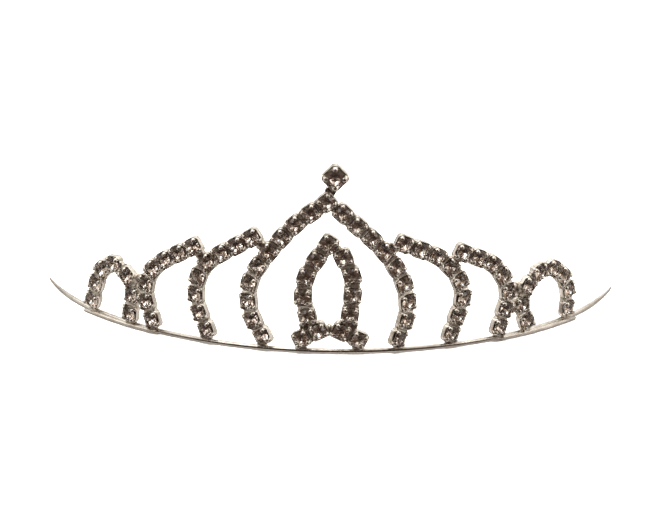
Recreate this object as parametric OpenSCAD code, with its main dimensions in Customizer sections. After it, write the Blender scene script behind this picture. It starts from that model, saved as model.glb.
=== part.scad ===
// Bridal tiara: an open springy headband that carries soldered arches of rhinestone cup chain.
// +Z is up and the wearer faces -Y. The origin lies under the middle of the headband's strip,
// at its front centre. Arches are laid out on the band's cylinder, unrolled: s is the distance
// along the band from the front centre (to the right), z is the height above the band's underside.

/* [Headband] */
// Radius of the headband's centre line
band_r = 73; // [72:0.5:74]
// Angle from the front centre to each tip, in degrees
band_half_angle = 70; // [66:1:74]
// Height of the headband's strip
band_h = 0.9; // [0.85:0.05:0.95]
// Thickness of the headband's strip
band_t = 1; // [0.9:0.05:1.1]
// Height that is left at each pointed tip
tip_h = 0.35; // [0.3:0.05:0.5]
// Thickness that is left at each pointed tip
tip_t = 0.35; // [0.3:0.05:0.5]
// Angle over which each tip is drawn out, in degrees
tip_angle = 13; // [10:1:15]

/* [Side rails] */
// Thickness of the short rail soldered outside each end of the headband
rail_t = 0.8; // [0.7:0.05:0.9]
// Height of a side rail
rail_h = 0.8; // [0.75:0.05:0.85]
// Angle from the front centre to the rail's square inner end, in degrees
rail_start = 31; // [30:0.5:32]
// Angle that a rail spans up to its pointed outer end, in degrees
rail_span = 18.5; // [17:0.5:20]
// How far the rail's outer end stands away from the headband
rail_splay = 0.5; // [0.3:0.1:0.7]

/* [Cup chain] */
// Width of a square setting cup
cup_w = 3.85; // [3.8:0.05:3.9]
// Corner radius of a cup
cup_corner = 1.3; // [1.2:0.05:1.4]
// Height of a cup's wall
cup_h = 1.8; // [1.65:0.05:1.8]
// Thickness of a cup's floor
cup_floor = 0.3; // [0.25:0.05:0.35]
// Diameter of a chain stone
stone_d = 3.5; // [3.4:0.05:3.5]
// Largest random turn of a cup about its strand, in degrees
cup_twist = 5; // [0:1:6]

/* [Finial] */
// Diameter of the finial's stone
finial_d = 4.3; // [4.1:0.1:4.4]
// Height of the finial stone's centre
finial_z = 40.7; // [40.3:0.1:41.2]
// Distance of the finial to the right of the centre
finial_s = 0.7; // [0.4:0.1:1]

/* [Hidden] */
$fn = 48;

SILVER = [0.80, 0.79, 0.77];
SOLDER = [0.62, 0.60, 0.55];
CRYSTAL = [0.55, 0.47, 0.42];

PRONG_R = 0.19;           // radius of a chain cup's prong
PRONG_PLACE = 1.965;      // distance of a prong from the cup's axis
PRONG_FOOT = 0.9;         // height at which a prong leaves the cup's corner
PRONG_H = 1.45;           // length of a prong above that
STONE_GAP = 0.04;         // space between a stone's edge and its cup's recess
STONE_LIFT = 0.1;         // height of a stone's point above the cup's floor
LINK_W = 3;               // width of the link between two cups
LINK_T = 1;               // thickness of that link
LINK_LIFT = 0.3;          // height of the link above the cup's back
BRIDGE_W = 1.6;           // width of a solder bridge between two strands
BRIDGE_T = 1;             // thickness of a solder bridge
BRIDGE_LIFT = 0.3;        // height of a solder bridge above the cup's back
SOLDER_W = 3.4;           // length along the band of the solder under a strand's foot
SOLDER_T = 1;             // thickness of that solder
SOLDER_H = 0.9;           // height of that solder
SPLINE_STEPS = 14;        // steps between two points of a strand's curve
POST_R = 0.5;             // radius of the finial's post
POST_COLLAR_R = 0.7;      // radius of the collar round the post
POST_STEP = 2.1;          // distance of the collar from the middle of the apex cup
CUP_SET_BACK = 0.2;       // how far a cup's middle lies inside the strand's surface
RIGHT = 1;
LEFT = -1;

// One row for each strand of cup chain: its name, how far it is set outside the headband's
// centre line, its number of cups, how far its first and its last cup are turned to the right
// about the upright (degrees), and the points [s, z] of its curve.
STRANDS = [
    ["central_arch_left", 0, 10, [-15, 0], [[-15, 3.2], [-18, 8.8], [-17.5, 17], [-9, 28.5], [-1, 35]]],
    ["central_arch_right", 0, 9, [0, 24],
        [[2.5, 32.5], [11.5, 24], [16.5, 16], [17.5, 8.9], [15.5, 3.2]]],
    ["flame_left", 0, 5, [0, 0], [[-0.5, 25.5], [-5, 18.5], [-6, 12.5], [-5, 8.5]]],
    ["flame_right", 0, 4, [0, 0], [[2.8, 22.3], [4.9, 17.7], [5, 13.2], [4.5, 8.95]]],
    ["flame_foot_left", 0, 2, [-4, 0], [[-6.2, 3.15], [-2.4, 5.1]]],
    ["flame_foot_right", 0, 2, [4, 0], [[6.5, 3.15], [2.5, 5.1]]],
    ["second_arch_left", 0, 8, [-6, 0],
        [[-28.3, 3.1], [-31, 10.5], [-28.5, 18.5], [-17.5, 26]]],
    ["second_arch_right", 0, 8, [0, 4],
        [[16.2, 25.2], [25.5, 20.7], [30.7, 12.8], [28, 3.1]]],
    ["third_arch_left", 0.5, 7, [3, 3],
        [[-42.4, 3.1], [-44.3, 9.6], [-41.3, 16], [-31.3, 22.4]]],
    ["third_arch_right", 0.5, 7, [-3, -3],
        [[30, 22.2], [38.3, 18], [42.3, 11.2], [40.2, 3.1]]],
    ["end_loop_left", 0.5, 7, [8, 8],
        [[-62, 3.15], [-59, 10.6], [-53.6, 13.8], [-48.4, 10.2], [-49, 3.15]]],
    ["end_loop_right", 0.5, 8, [-8, -8],
        [[48.1, 3.1], [46.5, 7.8], [49.2, 12.7], [54.4, 14.6], [59.8, 11.5], [62, 7.3], [62, 3.1]]]
];

// The cup at each foot that stands on the headband: strand name and cup number.
FEET = [
    ["central_arch_left", 0], ["central_arch_right", 8], ["flame_foot_left", 0],
    ["flame_foot_right", 0], ["second_arch_left", 0], ["second_arch_right", 7],
    ["third_arch_left", 0], ["third_arch_right", 6], ["end_loop_left", 0],
    ["end_loop_left", 6], ["end_loop_right", 0], ["end_loop_right", 7]
];

// Pairs of cups on neighbouring strands that a solder bridge joins.
BRIDGES = [
    [["central_arch_left", 9], ["central_arch_right", 0]],
    [["flame_left", 0], ["flame_right", 0]],
    [["flame_left", 4], ["flame_foot_left", 1]],
    [["flame_left", 4], ["flame_foot_left", 0]],
    [["flame_right", 3], ["flame_foot_right", 1]],
    [["flame_right", 3], ["flame_foot_right", 0]],
    [["flame_foot_left", 1], ["flame_foot_right", 1]],
    [["second_arch_left", 7], ["central_arch_left", 5]],
    [["second_arch_right", 0], ["central_arch_right", 3]],
    [["third_arch_left", 6], ["second_arch_left", 4]],
    [["third_arch_right", 0], ["second_arch_right", 3]],
    [["end_loop_left", 4], ["third_arch_left", 2]],
    [["end_loop_left", 5], ["third_arch_left", 1]],
    [["end_loop_right", 1], ["third_arch_right", 5]],
    [["end_loop_right", 2], ["third_arch_right", 4]]
];

// ---- where the cups sit ----

// Point at fraction t between p1 and p2 of a smooth curve through four points.
function smooth_point(p0, p1, p2, p3, t) =
    0.5 * (2 * p1 + (p2 - p0) * t + (2 * p0 - 5 * p1 + 4 * p2 - p3) * t * t
        + (3 * p1 - p0 - 3 * p2 + p3) * t * t * t);

// Fine points along the smooth curve that passes through all the points of p.
function smooth_curve(p) =
    let (last = len(p) - 1,
         q = concat([2 * p[0] - p[1]], p, [2 * p[last] - p[last - 1]]))
    concat([for (i = [1:last]) for (k = [0:SPLINE_STEPS - 1])
                smooth_point(q[i - 1], q[i], q[i + 1], q[i + 2], k / SPLINE_STEPS)],
           [p[last]]);

// Distance run along the points of p, one value for each point.
function run_lengths(p) =
    [for (i = 0, d = 0; i < len(p); d = d + (i + 1 < len(p) ? norm(p[i + 1] - p[i]) : 0), i = i + 1) d];

// Seats of a strand's cups, evenly spaced: [s, z, slope, twist, turn, offset].
function seats(strand) =
    let (p = smooth_curve(strand[4]),
         d = run_lengths(p),
         s_at = [for (i = [0:len(p) - 1]) [d[i], p[i][0]]],
         z_at = [for (i = [0:len(p) - 1]) [d[i], p[i][1]]],
         n = strand[2],
         total = d[len(d) - 1],
         reach = 0.4,
         twists = rands(-cup_twist, cup_twist, n, len(strand[0]) + n))
    [for (i = [0:n - 1])
        let (u = total * i / (n - 1), a = max(u - reach, 0), b = min(u + reach, total))
        [lookup(u, s_at), lookup(u, z_at),
         atan2(lookup(b, z_at) - lookup(a, z_at), lookup(b, s_at) - lookup(a, s_at)),
         twists[i], lookup(i, [[0, strand[3][0]], [n - 1, strand[3][1]]]), strand[1]]];

function strand_named(name) = [for (strand = STRANDS) if (strand[0] == name) strand][0];
function seat_of(place) = seats(strand_named(place[0]))[place[1]];

// Seat halfway between two seats, with its slope along the line that joins them.
function middle_seat(a, b) =
    [(a[0] + b[0]) / 2, (a[1] + b[1]) / 2, atan2(b[1] - a[1], b[0] - a[0]),
     (a[3] + b[3]) / 2, (a[4] + b[4]) / 2, (a[5] + b[5]) / 2];
function seat_distance(a, b) = norm([b[0] - a[0], b[1] - a[1]]);

// Puts children on a point of the band's cylinder: their +Z turns outward, their +Y up.
module on_band(s, z, offset = 0)
    translate([0, band_r, 0]) rotate([0, 0, s / band_r * 180 / PI])
        translate([0, -band_r - offset, z]) rotate([90, 0, 0]) children();

// Puts children on a cup's seat, their +X along the strand and their Z = 0 at the cup's back.
module on_seat(seat)
    on_band(seat[0], seat[1], seat[5]) rotate([0, seat[4], 0]) rotate([0, 0, seat[2]])
        rotate([seat[3], 0, 0]) translate([0, 0, -cup_h / 2 - CUP_SET_BACK]) children();

// ---- headband and rails ----

// Cross-section of a strip of height h and thickness t, its inner side on x = 0, edges broken.
module strip_profile(t, h) {
    inner = 0.14;
    outer = 0.24;
    polygon([[inner, 0], [t - outer, 0], [t, outer], [t, h - outer],
             [t - outer, h], [inner, h], [0, h - inner], [0, inner]]);
}

// Strip swept from angle 0 to span about the origin, starting at -Y and running to the right.
module strip_arc(inner_r, t, h, span)
    rotate([0, 0, -90]) rotate_extrude(angle = span, $fn = 360)
        translate([inner_r, 0]) strip_profile(t, h);

// Slab whose sloping underside takes a strip's top down from h to low between two angles.
module tip_cut(r, h, low, from, span) {
    drop = atan((h - low) / (r * sin(span)));
    rotate([0, 0, from]) translate([0, -r, h]) rotate([0, drop, 0])
        translate([0, -r / 2, 0]) cube([r, r, 3 * h]);
}

// Solid whose round side slants in towards a tip and takes the strip's thickness down to low.
module tip_limit(side, r, t, low) {
    shift = (t - low) / sin(tip_angle);
    mirror([side == LEFT ? 1 : 0, 0, 0]) rotate([0, 0, band_half_angle - tip_angle])
        translate([-shift, 0, -1]) cylinder(r = r + t / 2, h = band_h + 2, $fn = 360);
}

module headband() {
    color(SILVER)
    translate([0, band_r, 0])
    difference() {
        intersection() {
            rotate([0, 0, -band_half_angle])
                strip_arc(band_r - band_t / 2, band_t, band_h, 2 * band_half_angle);
            tip_limit(RIGHT, band_r, band_t, tip_t);
            tip_limit(LEFT, band_r, band_t, tip_t);
        }
        for (side = [RIGHT, LEFT]) mirror([side == LEFT ? 1 : 0, 0, 0])
            tip_cut(band_r, band_h, tip_h, band_half_angle - tip_angle, tip_angle);
    }
}

// Puts a right-hand rail, drawn about the origin, against the outside of the headband.
module place_rail()
    translate([0, band_r, 0]) rotate([0, 0, rail_start])
        translate([rail_splay / sin(rail_span), 0, 0]) children();

module side_rail(side) {
    inner_r = band_r + band_t / 2;
    color(SILVER)
    mirror([side == LEFT ? 1 : 0, 0, 0]) place_rail()
    difference() {
        strip_arc(inner_r, rail_t, rail_h, rail_span);
        tip_cut(inner_r, rail_h, 0.25, rail_span - 4, 4);
    }
}

// ---- cups, links and stones ----

// Solid rounded square of a cup, k times a chain cup's size.
module cup_block(k = 1) {
    inset = k * (cup_w - 2 * cup_corner);
    linear_extrude(k * cup_h) {
        square([k * cup_w, inset], center = true);
        square([inset, k * cup_w], center = true);
        for (x = [-1, 1], y = [-1, 1]) translate([x, y] * inset / 2) circle(k * cup_corner);
    }
}

// Prong that stands on a cup's corner and narrows towards its tip.
module prong(r, h)
    rotate_extrude() polygon([[0, 0], [r, 0], [r, h - 0.25], [r * 0.55, h], [0, h]]);

module cup(k = 1) {
    difference() {
        union() {
            cup_block(k);
            for (a = [45:90:315]) rotate([0, 0, a])
                translate([k * PRONG_PLACE, 0, k * PRONG_FOOT]) prong(k * PRONG_R, k * PRONG_H);
        }
        translate([0, 0, k * cup_floor])
            cylinder(r = k * (stone_d / 2 - STONE_GAP), h = 2 * k * cup_h);
    }
}

// Round brilliant, k times a chain stone's size: pointed back, thin edge, crown and flat table.
module stone(k = 1) {
    r = k * stone_d / 2;
    translate([0, 0, k * (cup_floor + STONE_LIFT)]) rotate_extrude() polygon([
        [0, 0], [r, 0.83 * r], [r, 0.89 * r], [0.56 * r, 1.2 * r], [0, 1.2 * r]]);
}

// Bar of solder or wire that fills the gap between two cups, and stops at their walls.
module bar_between(a, b, w, t, lift) {
    length = seat_distance(a, b);
    difference() {
        on_seat(middle_seat(a, b)) translate([-length / 2, -w / 2, lift]) cube([length, w, t]);
        on_seat(a) cup_block();
        on_seat(b) cup_block();
    }
}

module strand_cups(strand) {
    color(SILVER) for (seat = seats(strand)) on_seat(seat) cup();
}

module strand_links(strand) {
    list = seats(strand);
    color(SILVER) for (i = [0:len(list) - 2])
        bar_between(list[i], list[i + 1], LINK_W, LINK_T, LINK_LIFT);
}

module strand_stones(strand) {
    color(CRYSTAL) for (seat = seats(strand))
        on_seat(seat) stone();
}

// ---- finial ----

FINIAL_SIZE = finial_d / stone_d;
FINIAL_SEAT = [finial_s, finial_z, 45, 0, 0, 0];
APEX_SEAT = seat_of(["central_arch_left", 9]);

module finial_setting() {
    color(SILVER) on_seat(FINIAL_SEAT) cup(FINIAL_SIZE);
}

module finial_stone() {
    color(CRYSTAL) on_seat(FINIAL_SEAT) stone(FINIAL_SIZE);
}

// Short stepped post from the apex cup up to the finial's setting.
module finial_post() {
    rise = seat_distance(APEX_SEAT, FINIAL_SEAT);
    color(SILVER) difference() {
        on_seat(middle_seat(APEX_SEAT, FINIAL_SEAT)) translate([-rise / 2, 0, cup_h / 3])
            rotate([0, 90, 0]) rotate_extrude() polygon([
                [0, 0], [POST_R, 0], [POST_R, POST_STEP], [POST_COLLAR_R, POST_STEP],
                [POST_COLLAR_R, POST_STEP + 0.7], [POST_R, POST_STEP + 0.7], [POST_R, rise],
                [0, rise]]);
        on_seat(APEX_SEAT) cup_block();
        on_seat(FINIAL_SEAT) cup_block(FINIAL_SIZE);
    }
}

// ---- solder ----

// Three spots of solder in the gap between a side rail and the headband.
module rail_solder(side) {
    color(SOLDER)
    mirror([side == LEFT ? 1 : 0, 0, 0])
    for (a = [0.08, 0.45, 0.8] * rail_span) difference() {
        on_band((rail_start + a) * PI * band_r / 180, 0.25, band_t / 2 - 0.3)
            translate([-0.4, 0, 0]) cube([0.8, 0.5, 0.9]);
        translate([0, band_r, 0]) rotate_extrude($fn = 360) translate([band_r - band_t, 0])
            square([1.5 * band_t, band_h]);
        place_rail() strip_arc(band_r + band_t / 2, 2 * rail_t, rail_h, rail_span);
    }
}

module foot_solder() {
    color(SOLDER) for (place = FEET) {
        seat = seat_of(place);
        difference() {
            on_band(seat[0], band_h, seat[5] / 2 - SOLDER_T / 2)
                linear_extrude(SOLDER_T) polygon([
                    [-SOLDER_W / 2, 0], [SOLDER_W / 2, 0],
                    [SOLDER_W / 2 - 0.5, SOLDER_H], [0.5 - SOLDER_W / 2, SOLDER_H]]);
            on_seat(seat) cup_block();
        }
    }
}

module bridge_solder() {
    color(SOLDER) for (pair = BRIDGES)
        bar_between(seat_of(pair[0]), seat_of(pair[1]), BRIDGE_W, BRIDGE_T, BRIDGE_LIFT);
}

headband();
side_rail(LEFT);  // side_rail_left
side_rail(RIGHT);  // side_rail_right
for (strand = STRANDS) {
    strand_cups(strand);
    strand_links(strand);
    strand_stones(strand);
}
finial_post();
finial_setting();
finial_stone();
foot_solder();
bridge_solder();
for (side = [LEFT, RIGHT]) rail_solder(side);
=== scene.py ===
import math
import random

import bpy
import numpy as np
from mathutils import Matrix, Vector


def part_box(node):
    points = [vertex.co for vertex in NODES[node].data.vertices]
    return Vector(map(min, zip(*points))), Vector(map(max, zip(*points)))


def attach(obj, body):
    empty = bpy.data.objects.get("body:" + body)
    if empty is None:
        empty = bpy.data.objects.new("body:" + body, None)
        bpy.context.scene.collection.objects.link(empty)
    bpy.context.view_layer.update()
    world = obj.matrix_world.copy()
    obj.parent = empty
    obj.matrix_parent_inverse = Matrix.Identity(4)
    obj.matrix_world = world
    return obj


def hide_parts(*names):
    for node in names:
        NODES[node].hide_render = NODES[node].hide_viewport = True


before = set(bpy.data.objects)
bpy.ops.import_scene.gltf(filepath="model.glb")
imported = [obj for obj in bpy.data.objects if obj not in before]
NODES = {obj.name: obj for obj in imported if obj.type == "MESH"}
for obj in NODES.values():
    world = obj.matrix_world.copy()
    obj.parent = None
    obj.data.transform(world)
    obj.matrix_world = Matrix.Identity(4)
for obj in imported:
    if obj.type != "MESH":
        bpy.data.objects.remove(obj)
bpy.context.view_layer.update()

MM = 0.001


# ---------------------------------------------------------------- small mesh tools

def new_piece(name, points, faces, materials, face_slots=None, smooth_angle=None):
    """A mesh object from points in metres. smooth_angle in degrees, or None for flat facets."""
    mesh = bpy.data.meshes.new(name)
    mesh.from_pydata([tuple(p) for p in points], [], [tuple(f) for f in faces])
    for material in materials:
        mesh.materials.append(material)
    if face_slots is not None:
        mesh.polygons.foreach_set("material_index", np.asarray(face_slots, np.int32))
    if smooth_angle is None:
        mesh.polygons.foreach_set("use_smooth", [False] * len(mesh.polygons))
    else:
        mesh.polygons.foreach_set("use_smooth", [True] * len(mesh.polygons))
        mesh.set_sharp_from_angle(angle=math.radians(smooth_angle))
    mesh.validate()
    mesh.update()
    obj = bpy.data.objects.new(name, mesh)
    bpy.context.scene.collection.objects.link(obj)
    return obj


class Shape:
    """Points and faces that grow as parts are added."""

    def __init__(self):
        self.points = []
        self.faces = []
        self.slots = []
        self.count = 0

    def add(self, points, faces, slots=None, place=None):
        points = np.asarray(points, float)
        if place is not None:
            points = points @ place[0].T + place[1]
        self.points.append(points)
        self.faces += [tuple(i + self.count for i in f) for f in faces]
        self.slots += list(slots) if slots is not None else [0] * len(faces)
        self.count += len(points)

    def arrays(self):
        return np.vstack(self.points), self.faces, self.slots


def loft(rings):
    """Points and faces between closed rings of equal length, with a centre point closing each end."""
    n = len(rings[0])
    points = [p for ring in rings for p in ring]
    faces = []
    for r in range(len(rings) - 1):
        for i in range(n):
            j = (i + 1) % n
            faces.append((r * n + i, r * n + j, (r + 1) * n + j, (r + 1) * n + i))
    points.append(np.mean(rings[0], axis=0))
    faces += [(len(points) - 1, (i + 1) % n, i) for i in range(n)]
    last = (len(rings) - 1) * n
    points.append(np.mean(rings[-1], axis=0))
    faces += [(len(points) - 1, last + i, last + (i + 1) % n) for i in range(n)]
    return np.array(points, float), faces


def smoothstep(x):
    x = min(max(x, 0.0), 1.0)
    return x * x * (3 - 2 * x)


def bell(t, middle, width):
    return math.exp(-((t - middle) / width) ** 2)


# ---------------------------------------------------------------- where the CAD cups sit

def solids(node):
    """The loose solids of a CAD node, each as (areas, normals, centres) of its triangles."""
    mesh = NODES[node].data
    mesh.calc_loop_triangles()
    points = np.empty(len(mesh.vertices) * 3, np.float32)
    mesh.vertices.foreach_get("co", points)
    points = points.reshape(-1, 3).astype(float)
    corners = np.empty(len(mesh.loop_triangles) * 3, np.int32)
    mesh.loop_triangles.foreach_get("vertices", corners)
    places, place_of = np.unique(np.round(points, 7), axis=0, return_inverse=True)
    triangles = place_of.reshape(-1)[corners].reshape(-1, 3)
    label = np.arange(len(places))
    while True:
        lowest = label[triangles].min(axis=1)
        new = label.copy()
        np.minimum.at(new, triangles.ravel(), np.repeat(lowest, 3))
        new = new[new]
        if (new == label).all():
            break
        label = new
    found = []
    for one in np.unique(label[triangles[:, 0]]):
        mine = triangles[label[triangles[:, 0]] == one]
        a, b, c = (places[mine[:, k]] for k in range(3))
        cross = np.cross(b - a, c - a)
        size = np.linalg.norm(cross, axis=1)
        keep = size > 1e-14
        found.append((size[keep] / 2, cross[keep] / size[keep, None], ((a + b + c) / 3)[keep]))
    return found


def cup_seat(solid):
    """Frame of a square cup: (3x3 axes as columns, middle of its back). Z points out of its mouth."""
    areas, normals, centres = solid
    spread = (normals * areas[:, None]).T @ normals
    z = np.linalg.eigh(spread)[1][:, -1]
    height = centres @ z
    facing = normals @ z
    low = (facing < -0.99) & (height < height.min() + 2e-5)
    high = (facing > 0.99) & (height > height.max() - 2e-5)
    if areas[high].sum() > areas[low].sum():
        z, low = -z, high
    back = (centres[low] * areas[low, None]).sum(axis=0) / areas[low].sum()
    u = np.cross(z, [0.0, 0.0, 1.0])
    u /= np.linalg.norm(u)
    v = np.cross(z, u)
    wall = np.abs(normals @ z) < 0.2
    angle = np.arctan2(normals[wall] @ v, normals[wall] @ u)
    turn = np.angle((areas[wall] * np.exp(4j * angle)).sum()) / 4
    x = u * math.cos(turn) + v * math.sin(turn)
    return np.column_stack([x, np.cross(z, x), z]), back


# ---------------------------------------------------------------- materials

class Nodes:
    """A material's node tree, with short ways to add the nodes used here."""

    def __init__(self, name):
        self.material = bpy.data.materials.new(name)
        self.material.use_nodes = True
        self.tree = self.material.node_tree
        self.shader = self.tree.nodes["Principled BSDF"]
        self.coordinates = self.tree.nodes.new("ShaderNodeTexCoord").outputs["Object"]

    def link(self, a, b):
        self.tree.links.new(a, b)

    def noise(self, scale, detail=3.0, roughness=0.55, distortion=0.0):
        node = self.tree.nodes.new("ShaderNodeTexNoise")
        node.inputs["Scale"].default_value = scale
        node.inputs["Detail"].default_value = detail
        node.inputs["Roughness"].default_value = roughness
        node.inputs["Distortion"].default_value = distortion
        self.link(self.coordinates, node.inputs["Vector"])
        return node.outputs["Fac"]

    def ramp(self, value, stops):
        node = self.tree.nodes.new("ShaderNodeValToRGB")
        ramp = node.color_ramp
        while len(ramp.elements) < len(stops):
            ramp.elements.new(0.5)
        for element, (place, colour) in zip(ramp.elements, stops):
            element.position = place
            element.color = (*colour, 1.0)
        self.link(value, node.inputs["Fac"])
        return node.outputs["Color"]

    def range(self, value, low, high):
        node = self.tree.nodes.new("ShaderNodeMapRange")
        node.inputs["From Min"].default_value = 0.3
        node.inputs["From Max"].default_value = 0.7
        node.inputs["To Min"].default_value = low
        node.inputs["To Max"].default_value = high
        self.link(value, node.inputs["Value"])
        return node.outputs["Result"]

    def bump(self, height, strength, distance, soft_edge=0.0):
        node = self.tree.nodes.new("ShaderNodeBump")
        if soft_edge:
            bevel = self.tree.nodes.new("ShaderNodeBevel")
            bevel.samples = 6
            bevel.inputs["Radius"].default_value = soft_edge
            self.link(bevel.outputs["Normal"], node.inputs["Normal"])
        node.inputs["Strength"].default_value = strength
        node.inputs["Distance"].default_value = distance
        self.link(height, node.inputs["Height"])
        self.link(node.outputs["Normal"], self.shader.inputs["Normal"])


def silver(name, bright, dull, rough, bump, patch=700.0, soft_edge=0.0):
    """Silver plate: bright metal with duller patches, uneven gloss and a slightly rippled skin."""
    n = Nodes(name)
    n.shader.inputs["Metallic"].default_value = 1.0
    n.link(n.ramp(n.noise(patch, 4.0, 0.6), [(0.3, dull), (0.56, bright)]), n.shader.inputs["Base Color"])
    n.link(n.range(n.noise(patch * 2.3), rough[0], rough[1]), n.shader.inputs["Roughness"])
    n.bump(n.noise(patch * 4.0, 2.0), bump, 0.00004, soft_edge)
    return n.material


def crystal_glass():
    """Smoky rhinestone glass with faint smears on its facets."""
    n = Nodes("rhinestone_glass")
    n.shader.inputs["Transmission Weight"].default_value = 1.0
    n.shader.inputs["IOR"].default_value = 1.56
    tint = n.ramp(n.noise(500.0), [(0.3, (0.90, 0.86, 0.83)), (0.7, (0.98, 0.96, 0.94))])
    n.link(tint, n.shader.inputs["Base Color"])
    n.link(n.range(n.noise(1500.0), 0.0, 0.03), n.shader.inputs["Roughness"])
    return n.material


def foil_back():
    """Silver foil on a rhinestone's pavilion, a little brown where it has aged."""
    n = Nodes("rhinestone_foil")
    n.shader.inputs["Metallic"].default_value = 1.0
    tint = n.ramp(n.noise(650.0), [(0.35, (0.78, 0.70, 0.64)), (0.6, (0.94, 0.91, 0.88))])
    n.link(tint, n.shader.inputs["Base Color"])
    n.link(n.range(n.noise(1300.0), 0.02, 0.08), n.shader.inputs["Roughness"])
    return n.material


def paper(name, colour):
    """Matt paper with a very faint unevenness."""
    n = Nodes(name)
    n.link(n.ramp(n.noise(6.0), [(0.3, [c * 0.985 for c in colour]), (0.7, colour)]),
           n.shader.inputs["Base Color"])
    n.shader.inputs["Roughness"].default_value = 0.9
    n.shader.inputs["Specular IOR Level"].default_value = 0.1
    return n.material


CUP_SILVER = silver("cup_silver", (0.93, 0.90, 0.85), (0.70, 0.65, 0.58), (0.14, 0.28), 0.35)
# Link silver is the cup silver made darker: painted shade for the gaps between the cups, where the links
# sit.
LINK_SILVER_PAINTED_SHADE = silver("link_silver", (0.80, 0.77, 0.71), (0.50, 0.45, 0.38), (0.2, 0.4), 0.4)
BAND_SILVER = silver("band_silver", (0.83, 0.80, 0.75), (0.58, 0.52, 0.46), (0.14, 0.28), 0.3,
                     patch=260.0, soft_edge=0.00025)
SOLDER_GREY = silver("solder_grey", (0.74, 0.70, 0.62), (0.42, 0.37, 0.29), (0.2, 0.38), 0.6, 900.0)
GLASS = crystal_glass()
FOIL = foil_back()


# ---------------------------------------------------------------- cups and stones

# Millimetres on a cup's seat; heights are above the middle of its back.
CUP_W = 4.08            # width over the stamped walls
CUP_CORNER = 1.0        # corner radius
GIRDLE_R = 1.74         # radius of the stone's widest line
GIRDLE_Z = 1.86         # its height
TABLE_Z = 2.46          # height of the stone's flat top
CULET_Z = 0.42          # height of its point
CAD_STONE_R = 1.75      # radius of the CAD's chain stones
CAD_CUP_MIDDLE = 0.9    # half the height of the CAD's cups
PRONG_SIDES = 10
LINK_INSET = 0.35       # how far a link's ends reach inside the cups' walls
LINK_HALF_W = 1.86
LINK_LOW = 0.10         # heights of a link's back and front
LINK_HIGH = 1.44
LINK_PINCH = (0.16, 0.12, 0.20)   # what the middle loses in half width, below and above
POST_SINK = 0.25        # how far the post's ends reach into what they join
BEAD_MOST = 1.3         # largest half size of a bead of solder


def square_outline(width, corner, steps=6):
    """Rounded square as (x, y, cornerness) points: 1 at the middle of a corner, 0 on the sides."""
    half = width / 2 - corner
    outline = []
    for k, (cx, cy) in enumerate(((half, half), (-half, half), (-half, -half), (half, -half))):
        for i in range(steps + 1):
            a = (k + i / steps) * math.pi / 2
            near = 1 - abs(2 * i / steps - 1)
            outline.append((cx + corner * math.cos(a), cy + corner * math.sin(a), near))
        nx, ny = ((-half, half), (-half, -half), (half, -half), (half, half))[k]
        a = (k + 1) * math.pi / 2
        start = np.array([cx + corner * math.cos(a), cy + corner * math.sin(a)])
        end = np.array([nx + corner * math.cos(a), ny + corner * math.sin(a)])
        for t in (0.25, 0.5, 0.75):
            outline.append((*(start + (end - start) * t), 0.0))
    return outline


def cup_walls(rng):
    """One stamped cup: bevelled back, thin walls that dip between the corners, and a deep seat."""
    outline = square_outline(CUP_W, CUP_CORNER)
    dip = 1.55 + rng.uniform(-0.06, 0.06)
    crest = 1.92

    def ring(inset, height, to_round=0.0, radius=1.7):
        points = []
        for x, y, near in outline:
            r = math.hypot(x, y)
            out = (r - inset) / r
            level = height(near) if callable(height) else height
            px, py = x * out, y * out
            points.append((px + (x / r * radius - px) * to_round,
                           py + (y / r * radius - py) * to_round, level))
        return points

    def rim(drop):
        return lambda near: dip + (crest - dip) * smoothstep(near * 1.3) - drop

    rings = [
        ring(1.35, 0.14), ring(1.1, 0.12), ring(0.95, 0.03), ring(0.5, 0.0), ring(0.16, 0.03),
        ring(0.04, 0.12), ring(0.0, 0.3), ring(-0.01, 0.8), ring(0.0, rim(0.12)), ring(0.03, rim(0.03)),
        ring(0.07, rim(0.0)), ring(0.1, rim(0.02), 0.6, 1.82), ring(0.13, rim(0.12), 1.0, 1.78),
        ring(0.3, 0.9, 1.0, 1.76), ring(0.4, 0.42, 1.0, 1.5), ring(0.5, 0.34, 1.0, 1.2)]
    return loft(rings)


def prong(rng):
    """A corner prong folded over the stone, in a frame with +X outward along the corner."""
    bend = rng.uniform(-0.05, 0.05)
    lean = rng.uniform(-0.07, 0.07)
    path = [(2.07, 0.7), (2.10, 1.3), (2.09, 1.75), (2.02, 2.06 + bend), (1.84, 2.25 + bend),
            (1.60, 2.31 + bend), (1.42, 2.27 + bend), (1.33, 2.22 + bend)]
    widths = [0.34, 0.37, 0.38, 0.39, 0.41, 0.41, 0.34, 0.14]
    depths = [0.12, 0.15, 0.17, 0.21, 0.26, 0.26, 0.20, 0.08]
    rings = []
    for i, ((x, z), w, d) in enumerate(zip(path, widths, depths)):
        a, b = path[max(i - 1, 0)], path[min(i + 1, len(path) - 1)]
        tangent = np.array([b[0] - a[0], b[1] - a[1]])
        tangent /= np.linalg.norm(tangent)
        normal = np.array([tangent[1], -tangent[0]])
        shift = lean * i / len(path)
        ring = []
        for k in range(PRONG_SIDES):
            q = 2 * math.pi * k / PRONG_SIDES
            out = d * math.cos(q)
            ring.append((x + normal[0] * out, shift + w * math.sin(q), z + normal[1] * out))
        rings.append(ring)
    return loft(rings)


def turned(degrees):
    """Turn about a cup's axis."""
    a = math.radians(degrees)
    return np.array([[math.cos(a), -math.sin(a), 0], [math.sin(a), math.cos(a), 0], [0, 0, 1]])


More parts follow.
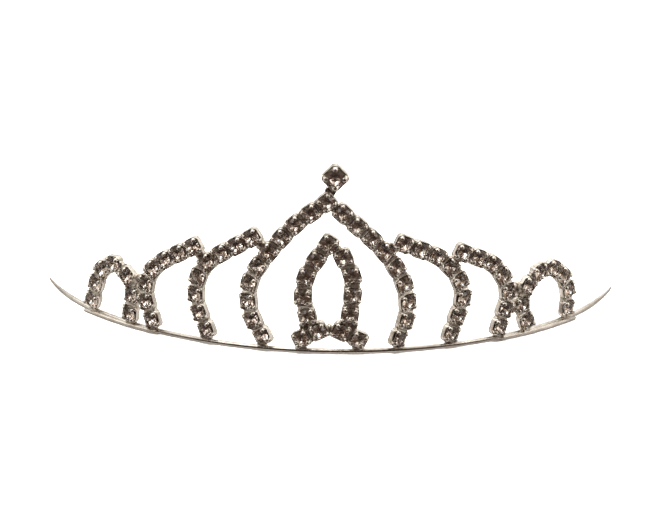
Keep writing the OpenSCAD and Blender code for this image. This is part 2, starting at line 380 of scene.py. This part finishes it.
def brilliant():
    """A foil-backed round brilliant: points, faces and slots (0 glass crown, 1 foil pavilion)."""
    table_r, star_r, pavilion_r = 0.96, 1.30, 0.48
    top, bottom = GIRDLE_Z + 0.05, GIRDLE_Z - 0.05
    slope = (TABLE_Z - top) / (GIRDLE_R - table_r)
    star_z = TABLE_Z - (star_r * math.cos(math.pi / 8) - table_r) * slope
    rise = (bottom - CULET_Z) / GIRDLE_R
    low_z = CULET_Z + pavilion_r * math.cos(math.pi / 8) * rise

    def wheel(radius, z, count=8, start=0.0):
        return [(radius * math.cos(start + 2 * math.pi * k / count),
                 radius * math.sin(start + 2 * math.pi * k / count), z) for k in range(count)]

    points = (wheel(table_r, TABLE_Z) + wheel(star_r, star_z, 8, math.pi / 8)
              + wheel(GIRDLE_R, top, 16) + wheel(GIRDLE_R, bottom, 16)
              + wheel(pavilion_r, low_z, 8, math.pi / 8) + [(0, 0, CULET_Z)])
    T, S, G, B, L, C = 0, 8, 16, 32, 48, 56
    faces, slots = [tuple(range(8))], [0]
    for k in range(8):
        n, p, q = (k + 1) % 8, (k - 1) % 8, (2 * k + 2) % 16
        faces += [(T + k, S + k, T + n), (T + k, S + p, G + 2 * k, S + k),
                  (S + k, G + 2 * k, G + 2 * k + 1), (S + k, G + 2 * k + 1, G + q)]
        slots += [0] * 4
        faces += [(C, L + k, B + 2 * k, L + p),
                  (L + k, B + 2 * k + 1, B + 2 * k), (L + k, B + q, B + 2 * k + 1)]
        slots += [1] * 3
    for k in range(16):
        n = (k + 1) % 16
        faces.append((G + k, B + k, B + n, G + n))
        slots.append(0)
    return np.array(points), faces, slots


STONE = brilliant()


def small_tilt(rng, degrees):
    """Random tilt of a stone in its cup."""
    a, b = (math.radians(rng.uniform(-degrees, degrees)) for _ in range(2))
    return (np.array([[1, 0, 0], [0, math.cos(a), -math.sin(a)], [0, math.sin(a), math.cos(a)]])
            @ np.array([[math.cos(b), 0, math.sin(b)], [0, 1, 0], [-math.sin(b), 0, math.cos(b)]]))


def placed(seat, local=np.eye(3)):
    """Placement of a part drawn in millimetres on a cup's seat."""
    axes, origin = seat
    return axes @ local * MM, origin


def dress_strand(strand):
    """Replaces a strand's CAD cups and stones by stamped cups with folded prongs and cut stones."""
    rng = random.Random(strand)
    cups, stones = Shape(), Shape()
    for solid in solids(strand + "_cups"):
        seat = cup_seat(solid)
        cups.add(*cup_walls(rng), place=placed(seat))
        for k in range(4):
            points, faces = prong(rng)
            cups.add(points @ turned(45 + 90 * k + rng.uniform(-2, 2)).T, faces, place=placed(seat))
        lie = small_tilt(rng, 4.0) @ turned(rng.uniform(0, 45))
        middle = np.array([0, 0, GIRDLE_Z])
        points = (STONE[0] - middle) @ lie.T + middle
        stones.add(points, STONE[1], STONE[2], place=placed(seat))
    points, faces, _ = cups.arrays()
    cup_piece = new_piece(strand + "_stamped_cups", points, faces, [CUP_SILVER], smooth_angle=38)
    points, faces, slots = stones.arrays()
    stone_piece = new_piece(strand + "_cut_stones", points, faces, [GLASS, FOIL], slots)
    for piece, node, slot in ((cup_piece, "_cups", "cup_metal"), (stone_piece, "_stones", "crystal")):
        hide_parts(strand + node)
        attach(piece, "root")


def link_block(seat_a, seat_b):
    """The folded metal between two stamped cups, pinched in the middle; ends inside both walls."""
    (axes_a, back_a), (axes_b, back_b) = seat_a, seat_b
    along = back_b - back_a
    pitch = np.linalg.norm(along)
    along /= pitch
    out = axes_a[:, 2] + axes_b[:, 2]
    out -= along * (out @ along)
    out /= np.linalg.norm(out)
    side = np.cross(out, along)
    start = (CUP_W / 2 - LINK_INSET) * MM
    section = ((-1, 0.2), (-1, 0.8), (-0.9, 1), (0, 1.02), (0.9, 1),
               (1, 0.8), (1, 0.2), (0.9, 0), (-0.9, 0))
    rings = []
    for t in np.linspace(0, 1, 7):
        pinch = math.sin(math.pi * t) ** 4
        half_w = LINK_HALF_W - LINK_PINCH[0] * pinch
        low = LINK_LOW + LINK_PINCH[1] * pinch
        high = LINK_HIGH - LINK_PINCH[2] * pinch
        centre = back_a + along * (start + (pitch - 2 * start) * t)
        rings.append([centre + side * x * half_w * MM + out * (low + (high - low) * z) * MM
                      for x, z in section])
    return loft(rings)


def dress_links(strand):
    """Joins each pair of cups that a CAD link joins."""
    seats = [cup_seat(solid) for solid in solids(strand + "_cups")]
    middles = np.array([back + axes[:, 2] * CAD_CUP_MIDDLE * MM for axes, back in seats])
    links = Shape()
    for areas, _, centres in solids(strand + "_links"):
        middle = (centres * areas[:, None]).sum(axis=0) / areas.sum()
        a, b = np.argsort(np.linalg.norm(middles - middle, axis=1))[:2]
        points, faces = link_block(seats[a], seats[b])
        links.add(points, faces)
    points, faces, _ = links.arrays()
    # The links get the darker silver, which carries the painted shade of the gaps between cups.
    piece = new_piece(strand + "_folded_links", points, faces, [LINK_SILVER_PAINTED_SHADE], smooth_angle=38)
    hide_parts(strand + "_links")
    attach(piece, "root")


STRANDS = sorted(name[:-5] for name in NODES if name.endswith("_cups"))
for strand in STRANDS:
    dress_strand(strand)
    dress_links(strand)


def coat(node, material):
    """Gives a CAD node that is kept its finished material."""
    NODES[node].data.materials.clear()
    NODES[node].data.materials.append(material)


for name in ("headband", "side_rail_left", "side_rail_right"):
    coat(name, BAND_SILVER)


# ---------------------------------------------------------------- finial

def dress_finial():
    """The finial: a chain cup grown to the CAD setting's size, turned on its corner, and its stone."""
    rng = random.Random("finial")
    axes, back = cup_seat(solids("finial_setting")[0])
    low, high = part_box("finial_stone")
    scale = (high.z - low.z) / (2 * CAD_STONE_R * MM)
    seat = (axes * scale, back)
    cup, stone = Shape(), Shape()
    cup.add(*cup_walls(rng), place=placed(seat))
    for k in range(4):
        points, faces = prong(rng)
        cup.add(points @ turned(45 + 90 * k).T, faces, place=placed(seat))
    stone.add(STONE[0], STONE[1], STONE[2], place=placed(seat, turned(24)))
    points, faces, _ = cup.arrays()
    setting = new_piece("finial_stamped_setting", points, faces, [CUP_SILVER], smooth_angle=38)
    points, faces, slots = stone.arrays()
    gem = new_piece("finial_cut_stone", points, faces, [GLASS, FOIL], slots)
    for piece, node, slot in ((setting, "finial_setting", "cup_metal"), (gem, "finial_stone", "crystal")):
        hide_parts(node)
        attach(piece, "root")


def dress_post():
    """The finial's post: a stem with two swellings and a wide foot, along the CAD post's axis."""
    areas, normals, centres = solids("finial_post")[0]
    axis = np.linalg.eigh((normals * areas[:, None]).T @ normals)[1][:, 0]
    axis *= np.sign(axis[2])
    side = np.cross(axis, [0.0, 1.0, 0.0])
    side /= np.linalg.norm(side)
    middle = (centres * areas[:, None]).sum(axis=0) / areas.sum()
    along = (centres - middle) @ axis
    start, end = along.min() - POST_SINK * MM, along.max() + POST_SINK * MM
    steps = 36
    rings = []
    for k in range(steps + 1):
        t = k / steps
        radius = 0.8 + 0.5 * bell(t, 0.38, 0.16) + 0.4 * bell(t, 0.80, 0.13)
        radius = (radius + 0.35 * smoothstep((0.2 - t) / 0.2)) * MM
        centre = middle + axis * (start + (end - start) * t)
        rings.append([centre + radius * (math.cos(a) * side + math.sin(a) * np.cross(axis, side))
                      for a in (2 * math.pi * i / 20 for i in range(20))])
    piece = new_piece("finial_beaded_post", *loft(rings), [CUP_SILVER], smooth_angle=60)
    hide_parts("finial_post")
    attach(piece, "root")


dress_finial()
dress_post()


# ---------------------------------------------------------------- solder

def blob(rng, half, steps=14):
    """Uneven rounded bead with half sizes `half`, about the origin."""
    waves = [(rng.uniform(1.2, 3.0), rng.uniform(0, 6.28), rng.choice((0, 1, 2))) for _ in range(5)]
    rings = []
    for i in range(1, steps):
        u = math.pi * i / steps
        ring = []
        for k in range(2 * steps):
            v = math.pi * k / steps
            d = np.array([math.sin(u) * math.cos(v), math.sin(u) * math.sin(v), math.cos(u)])
            d = np.sign(d) * np.abs(d) ** 0.72
            swell = 1 + sum(0.05 * math.sin(f * d[c] * 3 + p) for f, p, c in waves)
            ring.append(d * swell * half)
        rings.append(ring)
    return loft(rings)


def dress_solder(node, grow):
    """Replaces a node's solder bars by uneven beads that run a little onto the walls they join."""
    rng = random.Random(node)
    beads = Shape()
    for areas, _, centres in solids(node):
        middle = (centres * areas[:, None]).sum(axis=0) / areas.sum()
        off = centres - middle
        axes = np.linalg.eigh((off * areas[:, None]).T @ off)[1]
        reach = np.percentile(np.abs(off @ axes), 90, axis=0)
        points, faces = blob(rng, np.minimum(reach / MM * grow, BEAD_MOST))
        beads.add(points, faces, place=(axes * MM, middle))
    points, faces, _ = beads.arrays()
    piece = new_piece(node + "_beads", points, faces, [SOLDER_GREY], smooth_angle=60)
    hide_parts(node)
    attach(piece, "root")


dress_solder("foot_solder", 1.25)
dress_solder("bridge_solder", 1.6)
coat("rail_solder", SOLDER_GREY)


# ---------------------------------------------------------------- stage, light and camera

def make_floor():
    """White paper just under the headband, hidden from the silver and the stones."""
    size, z, grid = 3.0, -0.0002, 8
    row = grid + 1
    points = [((i / grid - 0.5) * size, (j / grid - 0.5) * size, z) for j in range(row) for i in range(row)]
    faces = [(j * row + i, j * row + i + 1, (j + 1) * row + i + 1, (j + 1) * row + i)
             for j in range(grid) for i in range(grid)]
    floor = new_piece("floor", points, faces, [paper("floor_paper", (0.93, 0.93, 0.925))])
    floor.visible_glossy = False
    floor.visible_transmission = False


def world_ramp(tree, value, low, high, stops):
    """Colours along a value that runs from low to high."""
    scaled = tree.nodes.new("ShaderNodeMapRange")
    scaled.inputs["From Min"].default_value = low
    scaled.inputs["From Max"].default_value = high
    tree.links.new(value, scaled.inputs["Value"])
    ramp = tree.nodes.new("ShaderNodeValToRGB")
    while len(ramp.color_ramp.elements) < len(stops):
        ramp.color_ramp.elements.new(0.5)
    for element, (place, colour) in zip(ramp.color_ramp.elements, stops):
        element.position = place
        element.color = (*colour, 1.0)
    tree.links.new(scaled.outputs["Result"], ramp.inputs["Fac"])
    return ramp.outputs["Color"]


def mixed(tree, a, b, factor=None, how="MULTIPLY"):
    """Colour b mixed over colour a, in full or by a linked factor."""
    node = tree.nodes.new("ShaderNodeMix")
    node.data_type = "RGBA"
    node.blend_type = how
    node.inputs["Factor"].default_value = 1.0
    if factor is not None:
        tree.links.new(factor, node.inputs["Factor"])
    tree.links.new(a, node.inputs["A"])
    tree.links.new(b, node.inputs["B"])
    return node.outputs["Result"]


def make_world():
    """Pale studio above, pale table at the sides and darker behind, dark round and below the camera.

    The camera itself sees plain white behind the tiara.
    """
    world = bpy.data.worlds.new("studio")
    bpy.context.scene.world = world
    world.use_nodes = True
    tree = world.node_tree
    nodes, links = tree.nodes, tree.links
    background = nodes["Background"]
    direction = nodes.new("ShaderNodeTexCoord").outputs["Generated"]
    toward = nodes.new("ShaderNodeVectorMath")
    toward.operation = "DOT_PRODUCT"
    toward.inputs[1].default_value = (0.0, -0.95, 0.31)
    links.new(direction, toward.inputs[0])
    split = nodes.new("ShaderNodeSeparateXYZ")
    links.new(direction, split.inputs[0])
    height = world_ramp(tree, split.outputs["Z"], -1.0, 1.0, [
        (0.0, (0.07, 0.05, 0.042)), (0.40, (0.12, 0.09, 0.075)), (0.53, (0.85, 0.80, 0.74)),
        (0.72, (1.12, 1.08, 1.02)), (0.90, (1.5, 1.46, 1.39)), (1.0, (1.65, 1.62, 1.57))])
    front = world_ramp(tree, toward.outputs["Value"], -1.0, 1.0, [
        (0.0, (1.0, 1.0, 1.0)), (0.6, (0.85, 0.84, 0.83)), (0.82, (0.60, 0.56, 0.53)),
        (0.93, (0.10, 0.072, 0.06))])
    table = world_ramp(tree, split.outputs["Y"], -1.0, 1.0, [
        (0.0, (0.04, 0.029, 0.024)), (0.28, (0.085, 0.063, 0.053)), (0.43, (0.55, 0.50, 0.46)),
        (0.62, (0.90, 0.85, 0.80)), (0.78, (0.62, 0.58, 0.54)), (0.94, (0.22, 0.195, 0.175))])
    above = world_ramp(tree, split.outputs["Z"], -0.12, 0.05, [(0.0, (0, 0, 0)), (1.0, (1, 1, 1))])
    patches = nodes.new("ShaderNodeTexNoise")
    patches.inputs["Scale"].default_value = 4.5
    patches.inputs["Detail"].default_value = 1.0
    links.new(direction, patches.inputs["Vector"])
    uneven = world_ramp(tree, patches.outputs["Fac"], 0.35, 0.65, [
        (0.0, (0.45, 0.42, 0.40)), (0.5, (0.95, 0.94, 0.93)), (1.0, (1.35, 1.34, 1.32))])
    upper = mixed(tree, height, front)
    room = mixed(tree, mixed(tree, table, upper, above, "MIX"), uneven)
    seen = nodes.new("ShaderNodeLightPath").outputs["Is Camera Ray"]
    show = nodes.new("ShaderNodeMix")
    show.data_type = "RGBA"
    show.inputs["B"].default_value = (1.0, 1.0, 1.0, 1)
    links.new(room, show.inputs["A"])
    links.new(seen, show.inputs["Factor"])
    links.new(show.outputs["Result"], background.inputs["Color"])


def area_light(name, place, aim, size, power, colour=(1, 1, 1), in_reflections=True):
    """Rectangular soft light at a place, facing the point aim."""
    data = bpy.data.lights.new(name, "AREA")
    data.shape = "RECTANGLE"
    data.size, data.size_y = size
    data.energy = power
    data.color = colour
    light = bpy.data.objects.new(name, data)
    light.location = place
    light.rotation_euler = (Vector(aim) - Vector(place)).to_track_quat("-Z", "Y").to_euler()
    light.visible_camera = False
    light.visible_glossy = in_reflections
    light.visible_transmission = in_reflections
    bpy.context.scene.collection.objects.link(light)


def make_camera():
    """Half a metre away, 19 degrees above the target, aimed a little above it and slightly rolled."""
    elevation, distance, roll = math.radians(19.0), 0.5, math.radians(-0.97)
    target = Vector((0.00018, -0.00045, 0.015))
    place = target + distance * Vector((0, -math.cos(elevation), math.sin(elevation)))
    look = elevation - math.radians(0.916)
    forward = Vector((0, math.cos(look), -math.sin(look)))
    right = Vector((1, 0, 0))
    up = right.cross(forward)
    right, up = (right * math.cos(roll) - up * math.sin(roll), right * math.sin(roll) + up * math.cos(roll))
    data = bpy.data.cameras.new("camera")
    data.lens = 122.93
    data.sensor_width = 36.0
    data.clip_start, data.clip_end = 0.01, 10.0
    camera = bpy.data.objects.new("camera", data)
    turn = Matrix((right, up, -forward)).transposed().to_4x4()
    camera.matrix_world = Matrix.Translation(place) @ turn
    bpy.context.scene.collection.objects.link(camera)
    bpy.context.scene.camera = camera


make_floor()
make_world()
area_light("floor_light", (-0.1, 0.0, 1.5), (0, 0.05, 0), (1.1, 1.1), 70.0, in_reflections=False)
area_light("top_softbox", (-0.15, -0.1, 0.8), (0, 0.02, 0.01), (0.5, 0.4), 1.4, (1.0, 0.985, 0.96))
area_light("left_softbox", (-0.5, -0.55, 0.55), (0, 0.02, 0.01), (0.25, 0.25), 0.5, (1.0, 0.98, 0.96))
area_light("right_softbox", (0.6, -0.35, 0.35), (0, 0.02, 0.01), (0.2, 0.3), 0.4, (1.0, 0.97, 0.94))
make_camera()
bpy.context.scene.view_settings.view_transform = "Standard"
